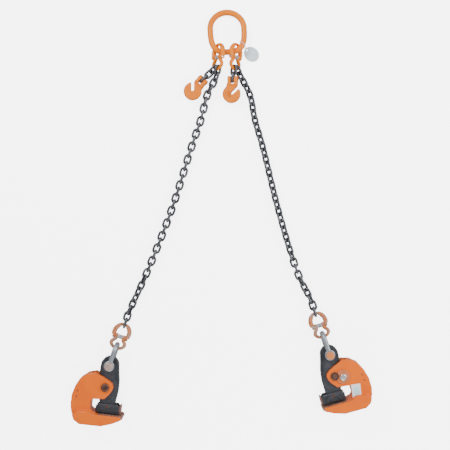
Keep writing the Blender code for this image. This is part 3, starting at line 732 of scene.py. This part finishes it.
def half(bow, inner, outer, reach):
    ends = ((inner, outer), (-outer, -inner))
    eyes = [placed(pin(EYE_RADIUS, low, high, 0.0012, 32), LYING) for low, high in ends]
    bow = forged(0.0008, 3, bow, *eyes)
    return cut(bow, placed(bore(LOAD_PIN + GAP, reach), LYING))


def upper_half():
    arm = [(0.0242, 0.002), (0.0262, 0.013), (0.0240, 0.0260), (0.0165, 0.0375), (0.0085, 0.0432)]
    points = both_arms(arm, PIN_TO_CROWN)
    bow = sweep(points, UP, swelling(len(points), 0.0084, BOW))
    return half(bow, 0.019, 0.028, 0.03)


def lower_half():
    arm = [
        (0.0135, -0.001), (0.0142, -0.0095), (0.0198, -0.0165), (0.0238, -0.0235), (0.0228, -0.0300),
        (0.0160, -0.0372), (0.0080, -0.0410),
    ]
    points = both_arms(arm, -PIN_TO_BOW)
    bow = sweep(points, UP, swelling(len(points), 0.0066, BOW))
    return half(bow, 0.009, 0.018, 0.02)


def add_coupling(name, place, finish):
    upper, lower = f"{name}_upper", f"{name}_lower"
    piece(f"{name}_upper_forging", placed(upper_half(), place), finish, upper, f"{name}_upper_half")
    piece(f"{name}_lower_forging", placed(lower_half(), place), finish, lower, f"{name}_lower_half")
    lying = place @ LYING
    load = pin(LOAD_PIN, -0.0282, 0.0282, 0.0012)
    piece(f"{name}_pin", placed(load, lying), BRIGHT, upper, f"{name}_load_pin")
    sleeve = turned([
        (LOAD_PIN + GAP, -0.0085), (0.0070, -0.0087), (0.0075, -0.0082), (0.0075, -0.0016), (0.0070, -0.0011),
        (0.0070, 0.0011), (0.0075, 0.0016), (0.0075, 0.0082), (0.0070, 0.0087), (LOAD_PIN + GAP, 0.0085),
    ], closed=True)
    piece(f"{name}_locking_sleeve", placed(sleeve, lying), ZINC, upper, f"{name}_sleeve")


# ---- hook ----

def hook_shape():
    """A grab hook in its own frame: Y back to the clevis pin, X towards its point."""
    bowl_at = (-0.002, -HOOK_DEPTH)
    lift = math.sqrt(0.5)
    wide = CLEVIS_WIDTH / 2 - 0.0005
    deep = HOOK_THICK / 2
    bowl = slab(arc(bowl_at, BOWL, 0, 355, 71), -deep, deep, 0.0045, 3)
    neck = [
        (-0.030, -0.054), (0.004, -0.050), (0.015, -0.030),
        (0.019, -0.012), (-0.019, -0.012), (-0.023, -0.030),
    ]
    neck = slab(neck, -deep, deep, 0.003)
    shank = block((-wide, -0.024, -0.011), (wide, 0.002, 0.011), 0.003, 2)
    barrel = placed(pin(0.011, -CLEVIS_WIDTH / 2, CLEVIS_WIDTH / 2, 0.001, 40), LYING)
    hook = forged(0.0009, 5, bowl, neck, shank, barrel)
    far, open_half = BOWL * 1.6, SLOT / 2
    root = arc((0, open_half - 0.0005), open_half, 180, 360, 12)
    slot = [*root, (open_half, far), (-open_half, far)]
    slot = [(lift * (x + y) + bowl_at[0], lift * (y - x) + bowl_at[1]) for x, y in slot]
    mouth = block((-CLEVIS_GAP / 2, -0.0168, -0.02), (CLEVIS_GAP / 2, 0.02, 0.02))
    hole = placed(bore(CLEVIS_PIN + GAP, 0.03), LYING)
    crescent = [(x * 0.62 - 0.006, y * 0.62 - 0.055) for x, y in arc((0, 0), 0.017, 100, 290, 30)]
    recess = slab(crescent, deep - 0.0012, 0.02)
    return cut(hook, slab(slot, -0.02, 0.02), mouth, hole, recess)


def add_hook(side, leg, place):
    way, middle, first_roll = leaving(leg["hook"], place)
    rolls = [math.radians(roll) for roll in (first_roll, *leg["hook"][3])]
    links = [(middle + way * PITCH * i, way, roll) for i, roll in enumerate(rolls)]
    add_links(f"hook_links_{side}", links, f"hook_links_{side}")
    pin_at = links[-1][0] + way * (HALF_LINK - WIRE - CLEVIS_PIN - GAP)
    beside = UP.cross(way).normalized()
    lean = rolls[-1] - math.pi / 2
    across = math.cos(lean) * beside + math.sin(lean) * way.cross(beside)
    turn = math.radians(leg["hook_turn"])
    level = Vector((math.sin(turn), -math.cos(turn), -0.03)).normalized()
    across = (across - across.dot(level) * level).normalized()
    held = turned_to(pin_at, -across if side == "left" else across, -level)
    body = f"hook_{side}"
    piece(f"grab_hook_{side}", placed(hook_shape(), held), HOOK_PAINT, body, body)
    clevis = placed(pin(CLEVIS_PIN, -0.0198, 0.0198, 0.0008), held @ LYING)
    piece(f"hook_pin_{side}", clevis, BROWN, body, f"clevis_pin_{side}")


# ---- clamp ----

def body_outline():
    """The clamp body seen from its front: back, top, upper lip, throat, lower jaw."""
    return [
        (-0.096, -0.121), (-0.108, -0.097), (-0.1135, -0.073), (-0.113, -0.038), (-0.104, -0.005),
        (-0.091, 0.020), (-0.068, 0.039), (-0.040, 0.0465), (-0.011, 0.034), (0.012, 0.0225),
        (0.0235, 0.0135), (0.027, 0.003), (0.0245, -0.010), (0.016, -0.024), (0.001, -0.041),
        (-0.038, -0.0455), (-0.0445, -0.051), (-0.044, -0.078), (-0.034, -0.090), (-0.020, JAW_TOP),
        (0.064, JAW_TOP), (0.067, -0.100), (0.064, -0.107), (0.038, -0.120), (0.001, -0.132),
        (-0.038, -0.1325), (-0.074, -0.1325),
    ]


def jaw_outline():
    """The wide lower jaw, which blends into the back."""
    return [
        (-0.094, -0.120), (-0.102, -0.104), (-0.086, -0.088), (-0.052, -0.084), (-0.034, -0.091),
        (-0.020, JAW_TOP), (0.064, JAW_TOP), (0.067, -0.100), (0.064, -0.107), (0.038, -0.120),
        (0.001, -0.132), (-0.038, -0.1325), (-0.074, -0.1325),
    ]


def clamp_body():
    body = slab(rounded(body_outline()), -CHEEK, CHEEK, 0.0035, 3)
    jaw = slab(rounded(jaw_outline()), -JAW_HALF_DEPTH, JAW_HALF_DEPTH, 0.0045, 3)
    body = forged(0.0013, 6, body, jaw)
    slot = LEVER_HALF + 0.0006
    lever_way = block((-0.055, -0.052, -slot), (0.05, 0.06, slot))
    pocket = block((-0.0165, JAW_TOP - 0.0103, -0.0343), (0.09, -0.075, 0.0343))
    hole = bore(PIVOT + GAP, 0.05)
    lock_hole = placed(turned(((LOCK_STUD, -0.05), (LOCK_STUD, 0)), 24), Matrix.Translation(LOCK_AT))
    return cut(body, lever_way, pocket, hole, lock_hole)


def lever_shape():
    """The lever plate: round eye, straight inner edge, tongue into the foot."""
    top = arc((EYE_AT.x, EYE_AT.y), 0.031, 0, 180, 36)
    outer = [(0.0445, -0.020), (0.0445, -0.004), (0.042, 0.024), (0.036, 0.050)]
    inner = [(-0.031, 0.055), (-0.0285, 0.030), (-0.024, -0.020)]
    tongue = [(-0.006, -0.0747), (0.040, -0.0747)]
    plate = slab([*outer, *top, *inner, *tongue], -LEVER_HALF, LEVER_HALF, 0.0022, 3)
    eye = placed(bore(SHACKLE_PIN + GAP, 0.03), Matrix.Translation(EYE_AT))
    hole = placed(bore(FOOT_PIN + GAP, 0.03, 24), Matrix.Translation(FOOT_PIN_AT))
    return cut(plate, eye, bore(BUSH + GAP, 0.03), hole)


def foot_shape():
    outline = [
        (-0.022, -0.086), (-0.019, -0.089), (0.057, -0.089), (0.060, -0.086),
        (0.060, -0.066), (0.052, -0.0575), (-0.013, -0.0575), (-0.022, -0.066),
    ]
    shoe = slab(outline, -0.021, 0.021, 0.002, 3)
    way = block((-0.03, -0.0775, -LEVER_HALF - GAP), (0.07, 0, LEVER_HALF + GAP))
    hole = placed(bore(FOOT_PIN + GAP, 0.03, 24), Matrix.Translation(FOOT_PIN_AT))
    return cut(shoe, way, hole)


def add_lever(side, place, turn):
    """The lever, and the foot that swivels on its pin to stay level with the jaw."""
    body = f"lever_{side}"
    foot_pin_at = place @ Matrix.Translation(FOOT_PIN_AT)
    level = foot_pin_at @ Matrix.Rotation(-turn, 4, "Z") @ Matrix.Translation(-FOOT_PIN_AT)
    piece(f"lever_plate_{side}", placed(lever_shape(), place), LEVER_PAINT, body, body)
    bush = ring(BUSH, PIVOT + GAP, GAP - LEVER_HALF, LEVER_HALF - GAP)
    piece(f"lever_bushing_{side}", placed(bush, place), BROWN, body, f"lever_bush_{side}")
    piece(f"foot_shoe_{side}", placed(foot_shape(), level), LEVER_PAINT, body, f"foot_{side}")
    # brown end plate: colour partly worn steel, partly painted shade of the foot's end face
    end_plate = block((0.0602, -0.0862, -0.0195), (0.0655, -0.0600, 0.0195), 0.0012, 2)
    piece(f"foot_end_plate_{side}", placed(end_plate, level), FOOT_END_WORN_AND_SHADED, body, ())
    foot_pin = placed(pin(FOOT_PIN, -0.0217, 0.0217, 0.0008), foot_pin_at)
    piece(f"foot_cross_pin_{side}", foot_pin, BROWN, body, f"foot_pin_{side}")


def add_clamp(side, place):
    body = f"clamp_{side}"
    forging = placed(clamp_body(), place)
    piece(f"clamp_forging_{side}", forging, CLAMP_PAINT, body, f"clamp_body_{side}")
    insert = block((-0.016, JAW_TOP - 0.010, -0.034), (0.0705, JAW_TOP - 0.0010, 0.034), 0.0008, 2)
    piece(f"jaw_plate_{side}", placed(insert, place), JAW_STEEL, body, f"jaw_insert_{side}")
    turn = place.to_3x3()
    across, up = turn @ Vector((0, 0, 1)), turn @ Vector((0, 1, 0))
    first, along_jaw, across_jaw = Vector((-0.0115, JAW_TOP - 0.0003, -0.0297)), 0.0070, 0.0066
    spots = [
        (place @ (first + Vector((along_jaw * row, 0, across_jaw * column))), up, across)
        for row in range(12) for column in range(10)
    ]
    sizes = {"Radius": 0.0044, "Height": 0.0014, "Tip": 0.0004, "Sides": 4}
    strewn(f"jaw_teeth_{side}", STUD_TREE, spots, sizes, JAW_STEEL, body, ())
    add_pivot(side, place, body)
    add_lock(side, place, body)
    add_rivets(side, place, body)


def add_pivot(side, place, body):
    """The pivot bolt, with the collar on its far end."""
    face = CHEEK + GAP
    head = 0.0143
    bolt = turned([
        (PIVOT - 0.001, -0.0335), (PIVOT, -0.0325), (PIVOT, face), (head, face), (head, face + 0.0045),
        (head - 0.0008, face + 0.0062), (head - 0.0030, face + 0.0075), (0.0070, face + 0.0072),
        (0.0058, face + 0.0058), (0.0030, face + 0.0052), (0.0004, face + 0.0050),
    ])
    piece(f"pivot_bolt_{side}_turned", placed(bolt, place), BROWN, body, f"pivot_bolt_{side}")
    collar = ring(head, PIVOT + GAP, -face - 0.0055, -face, 0.0010)
    piece(f"pivot_ring_{side}", placed(collar, place), BROWN, body, f"pivot_collar_{side}")


def add_lock(side, place, body):
    """The round lock disc on the rear cheek, its bite round the collar, and its stud."""
    face = CHEEK + GAP
    lock = place @ Matrix.Translation(LOCK_AT)
    disc = ring(LOCK_DISC, LOCK_STUD, -face - LOCK_THICK, -face, 0.0012, 72)
    bite = placed(turned(((0.0149, -0.05), (0.0149, 0)), 48), Matrix.Translation(-LOCK_AT))
    plate = placed(cut(disc, bite), lock)
    piece(f"lock_plate_{side}", plate, CLAMP_PAINT, body, f"lock_disc_{side}")
    under = -face - LOCK_THICK - GAP
    stud = turned([
        (0.0004, under - 0.0068), (0.0045, under - 0.0070), (0.0055, under - 0.0085),
        (0.0095, under - 0.0085), (0.0110, under - 0.0075), (0.0115, under - 0.0060),
        (0.0115, under), (0.006, under), (0.006, -LEVER_HALF - 0.0012),
    ])
    piece(f"lock_stud_{side}", placed(stud, lock), BRIGHT, body, f"lock_bolt_{side}")


def add_rivets(side, place, body):
    """Two rivets through the back of the body, with a head on either cheek."""
    turn = place.to_3x3()
    spots = []
    for at in ((-0.0935, -0.021), (-0.095, -0.041)):
        for way in (1, -1):
            middle = place @ Vector((*at, way * (CHEEK - 0.0004)))
            spots.append((middle, turn @ Vector((0, 0, way)), turn @ Vector((0, 1, 0))))
    sizes = {"Radius": 0.0040, "Height": 0.0014, "Tip": 0.0024, "Sides": 20}
    strewn(f"back_rivets_{side}", STUD_TREE, spots, sizes, RIVET_PAINT, body, ())


def add_label(place):
    """A blank film label with a pale middle, on the rear cheek of one clamp."""
    lift = -CHEEK - 0.0001
    held = place @ Matrix.Translation((-0.058, -0.072, 0)) @ Matrix.Rotation(math.radians(8), 4, "Z")
    for name, wide, tall, low, finish in (
        ("label_backing", 0.0160, 0.0265, 0.0, LABEL_WHITE),
        ("label_panel", 0.0085, 0.0165, 0.00035, LABEL_BLUE),
    ):
        outline = rounded([(-wide, -tall), (wide, -tall), (wide, tall), (-wide, tall)], 0.003)
        film_piece = slab(outline, lift - low - 0.0007, lift - low, 0.0002)
        piece(f"{name}_right", placed(film_piece, held), finish, "clamp_right", ())


# ---- shackle ----

def shackle_bow():
    """In the shackle's frame: X along the pin, Y to the crown."""
    crown = arc((0, SHACKLE_CROWN - SHACKLE_ARM), SHACKLE_ARM, 0, 180, 24)
    foot, shoulder = 0.006, 0.028
    arm = [(SHACKLE_ARM, foot), (SHACKLE_ARM, shoulder)]
    points = flat([*arm, *crown, *[(-x, y) for x, y in reversed(arm)]])
    bow = sweep(points, UP, SHACKLE_ROD)
    eyes = [placed(pin(SHACKLE_EYE, low, low + 0.0172, 0.0020, 40), LYING) for low in (0.0155, -0.0327)]
    bow = forged(0.0010, 4, bow, *eyes)
    return cut(bow, placed(bore(SHACKLE_PIN + GAP, 0.04, 40), LYING))


def add_shackle(side, place, finish):
    body = f"shackle_{side}"
    lying = place @ LYING
    piece(f"shackle_forging_{side}", placed(shackle_bow(), place), ZINC, body, f"shackle_bow_{side}")
    head = 0.033
    bolt = turned([
        (0.0080, -0.0438), (0.0092, -0.0425), (SHACKLE_PIN, -head), (SHACKLE_PIN, head), (0.0145, head),
        (0.0145, 0.0375), (0.0138, 0.0392), (0.0120, 0.0403), (0.0060, 0.0405), (0.0004, 0.0403),
    ])
    piece(f"shackle_bolt_{side}", placed(bolt, lying), finish, body, f"shackle_pin_{side}")
    nut = turned(((0.0140, -0.0423), (0.0155, -0.0413), (0.0155, -head - 0.001), (0.0140, -head)), 6)
    nut = cut(nut, turned(((SHACKLE_PIN + GAP, -0.05), (SHACKLE_PIN + GAP, 0)), 32))
    piece(f"shackle_hex_nut_{side}", placed(nut, lying), ZINC, body, f"shackle_nut_{side}")


# ---- the sling ----

def master_points(count):
    """The centre line of the master link, in its own plane."""
    points = []
    for i in range(count):
        angle = 2 * math.pi * i / count
        x, y = math.cos(angle), math.sin(angle)
        if y < 0:
            x, y = math.copysign(abs(x) ** (2 / 3), x), -(abs(y) ** (2 / 3)) * LINK_DROP / CROWN_RADIUS
        points.append(Vector((CROWN_RADIUS * x, CROWN_RADIUS * y, 0)))
    return points


def even(points, count):
    """The same closed line with its points evenly spaced."""
    line = [*points, points[0]]
    length = sum((b - a).length for a, b in zip(line, line[1:]))
    return [along(line, length * i / count) for i in range(count)]


def master_place():
    rest = LINK_BAR + GAP
    pitch = math.asin((TOP_Z - rest) / (LINK_DROP + CROWN_RADIUS))
    lying = Matrix.Translation((*CROWN_AT, rest + CROWN_RADIUS * math.sin(pitch)))
    return lying @ Matrix.Rotation(LINK_TURN, 4, "Z") @ Matrix.Rotation(-pitch, 4, "X")


def bar_at(curve, x):
    """Where the master link's bottom bar crosses a given X."""
    low = sorted((p for p in curve if p.y < CROWN_AT[1]), key=lambda p: p.x)
    for a, b in zip(low, low[1:]):
        if a.x <= x <= b.x:
            return a + (b - a) * ((x - a.x) / (b.x - a.x))
    return low[0]


def add_tag(curve):
    bar = bar_at(curve, TIE_X)
    out = Vector((0.72, -0.69, 0)).normalized()
    hole = bar + out * TAG_REACH
    hole.z = TAG_HEIGHT
    loop = []
    for step in range(2, 21):
        angle = math.radians(15 * step)
        loop.append(bar + TIE_LOOP * (math.cos(angle) * out + math.sin(angle) * UP))
    for back, height in ((-0.0085, 0.0040), (0, 0.0030), (0.0005, 0.0095)):
        loop.append(Vector((hole.x, hole.y, height)) + back * out)
    loop = curve_through(loop, 4, closed=True)
    tie = sweep(loop, out.cross(UP).normalized(), TIE_WIRE, 12, closed=True)
    piece("tag_tie_loop", tie, TIE_FILM, "tie", "tag_tie")
    lying = turned_to(hole + (TAG_LONG - 0.007) * out, out, UP.cross(out))
    disc = turned([
        (0.60, -0.0007), (0.955, -0.0007), (0.985, -0.0010), (1, -0.0005), (1, 0.0005),
        (0.985, 0.0010), (0.955, 0.0010), (0.94, 0.0007), (0.60, 0.0007),
    ], 72)
    bmesh.ops.scale(disc, vec=(TAG_LONG, TAG_WIDE, 1), verts=disc.verts)
    eye = placed(bore(TAG_EYE, 0.01), Matrix.Translation(hole))
    piece("tag_plate", cut(placed(disc, lying), eye), TAG_FILM, "tag", "tag")


def end_coupling_place(eye, tilt):
    """The end coupling slopes from the shackle's crown down to the chain."""
    inward = Vector((math.sin(tilt), math.cos(tilt), 0))
    round_crown = SHACKLE_ARM - SHACKLE_ROD - BOW - GAP
    reach = SHACKLE_CROWN - SHACKLE_ARM + math.sqrt(round_crown**2 - END_DROP**2)
    low_bow = eye + inward * reach - UP * END_DROP
    axis = (inward * math.cos(END_SLOPE) - UP * math.sin(END_SLOPE)).normalized()
    return turned_to(low_bow + axis * PIN_TO_BOW, axis.cross(UP), axis), axis, inward


def add_chain(side, leg, place, end_place, axis):
    way, first, first_roll = leaving(leg["chain"], place)
    main_roll = 0 if side == "left" else 45
    rest_z = rest_height(main_roll)
    last = end_place.translation + axis * (PIN_TO_CROWN - GRIP + HALF_LINK)
    inner = [Vector((x, y, rest_z)) for x, y in leg["path"]]
    settled = last + 0.05 * Vector((axis.x, axis.y, 0)).normalized()
    settled.z = rest_z
    points = [first, first + 0.03 * way, *inner, settled, last]
    for number, links in enumerate(leg_links(points, first_roll, main_roll), 1):
        add_links(f"chain_{side}_{number}", links, f"chain_{side}_{number}")


def add_leg(side, leg, curve):
    lean = leg["lean"] * LEAN
    pin_axis = Vector((math.sin(lean), 0, math.cos(lean)))
    up = Vector((math.sin(TOP_TILT), math.cos(TOP_TILT), 0))
    centre = bar_at(curve, leg["coupling_x"]) + up * (BAR_TO_CROWN - PIN_TO_CROWN) - UP * SAG
    place = turned_to(centre, pin_axis - pin_axis.dot(up) * up, up)
    add_coupling(f"top_coupling_{side}", place, HOOK_PAINT)
    add_hook(side, leg, place)

    clamp_up = UP.cross(Vector(leg["into"]).normalized()) * (1 if side == "left" else -1)
    clamp_place = turned_to(Vector((*leg["pivot"], CLAMP_Z)), Vector(leg["into"]), clamp_up)
    lever_turn = math.radians(leg["lever_turn"])
    lever_place = clamp_place @ Matrix.Rotation(lever_turn, 4, "Z")
    eye = lever_place @ EYE_AT
    end_place, axis, inward = end_coupling_place(eye, math.radians(leg["end_tilt"]))
    add_chain(side, leg, place, end_place, axis)
    add_coupling(f"end_coupling_{side}", end_place, WORN)
    # the left pin head gets the painted-shade copy of the orange pin finish
    add_shackle(side, turned_to(eye, UP, inward), SHADED_ORANGE_PIN_HEAD if side == "left" else PIN_PAINT)
    add_lever(side, lever_place, lever_turn)
    add_clamp(side, clamp_place)
    if side == "right":
        add_label(clamp_place)


def add_sling():
    place = master_place()
    curve = [place @ point for point in master_points(30)]
    smooth = [place @ point for point in even(master_points(2000), 160)]
    normal = (place.to_3x3() @ UP).normalized()
    ring_shape = sweep(smooth, normal, LINK_BAR, 28, closed=True)
    piece("master_link_forging", ring_shape, LINK_PAINT, "master", "master_link")
    add_tag(curve)
    for side, leg in LEGS.items():
        add_leg(side, leg, curve)


# ---- floor, light and camera ----

WHITE = 5.0
FLOOR_REACH = 20
CAMERA_HEIGHT = 2.5
HALF_VIEW = 0.794
VIEW_LEVEL = 0.015


def white_floor():
    """A pale paper floor that reads as plain white."""
    paper = Finish("paper_floor", specular=0.0)
    paper.shader.inputs["Emission Color"].default_value = (1, 1, 1, 1)
    paper.shader.inputs["Emission Strength"].default_value = WHITE
    fibres = paper.noise(400, 2)
    paper.done(paper.mixed(fibres, (0.93, 0.93, 0.93), (0.95, 0.95, 0.95)), 0.9, fibres, 0.00002)
    thing = as_object(block((-FLOOR_REACH, -FLOOR_REACH, -0.02), (FLOOR_REACH, FLOOR_REACH, 0.0)))
    thing.name = "paper_floor"
    thing.data.materials.append(paper.material)
    thing.visible_diffuse = False
    thing.visible_glossy = False


def soft_light(name, at, size, power, towards=(0, 0, 0)):
    lamp = bpy.data.lights.new(name, "AREA")
    lamp.energy = power
    lamp.shape = "SQUARE"
    lamp.size = size
    thing = bpy.data.objects.new(name, lamp)
    thing.location = at
    thing.rotation_euler = (Vector(towards) - Vector(at)).to_track_quat("-Z", "Y").to_euler()
    bpy.context.scene.collection.objects.link(thing)


def studio():
    white_floor()
    world = bpy.data.worlds.new("studio")
    world.use_nodes = True
    nodes, links = world.node_tree.nodes, world.node_tree.links
    soft = nodes["Background"]
    backdrop = nodes.new("ShaderNodeBackground")
    for shader, strength in ((soft, 0.60), (backdrop, WHITE)):
        shader.inputs["Color"].default_value = (1, 1, 1, 1)
        shader.inputs["Strength"].default_value = strength
    chosen = nodes.new("ShaderNodeMixShader")
    links.new(nodes.new("ShaderNodeLightPath").outputs["Is Camera Ray"], chosen.inputs[0])
    links.new(soft.outputs[0], chosen.inputs[1])
    links.new(backdrop.outputs[0], chosen.inputs[2])
    links.new(chosen.outputs[0], nodes["World Output"].inputs["Surface"])
    bpy.context.scene.world = world
    soft_light("key", (-1.4, 1.9, 2.2), 0.9, 64)
    soft_light("fill", (2.0, 0.4, 1.6), 1.4, 42)
    soft_light("low", (0.2, -2.2, 1.2), 1.4, 18)


def camera():
    """Straight down on the middle of the sling, from two and a half metres."""
    lens = bpy.data.cameras.new("camera")
    lens.sensor_width = 36
    lens.angle = 2 * math.atan(HALF_VIEW / (CAMERA_HEIGHT - VIEW_LEVEL))
    thing = bpy.data.objects.new("camera", lens)
    thing.location = HOME + Vector((0.0226, -0.0274, CAMERA_HEIGHT))
    bpy.context.scene.collection.objects.link(thing)
    bpy.context.scene.camera = thing


add_sling()
studio()
camera()
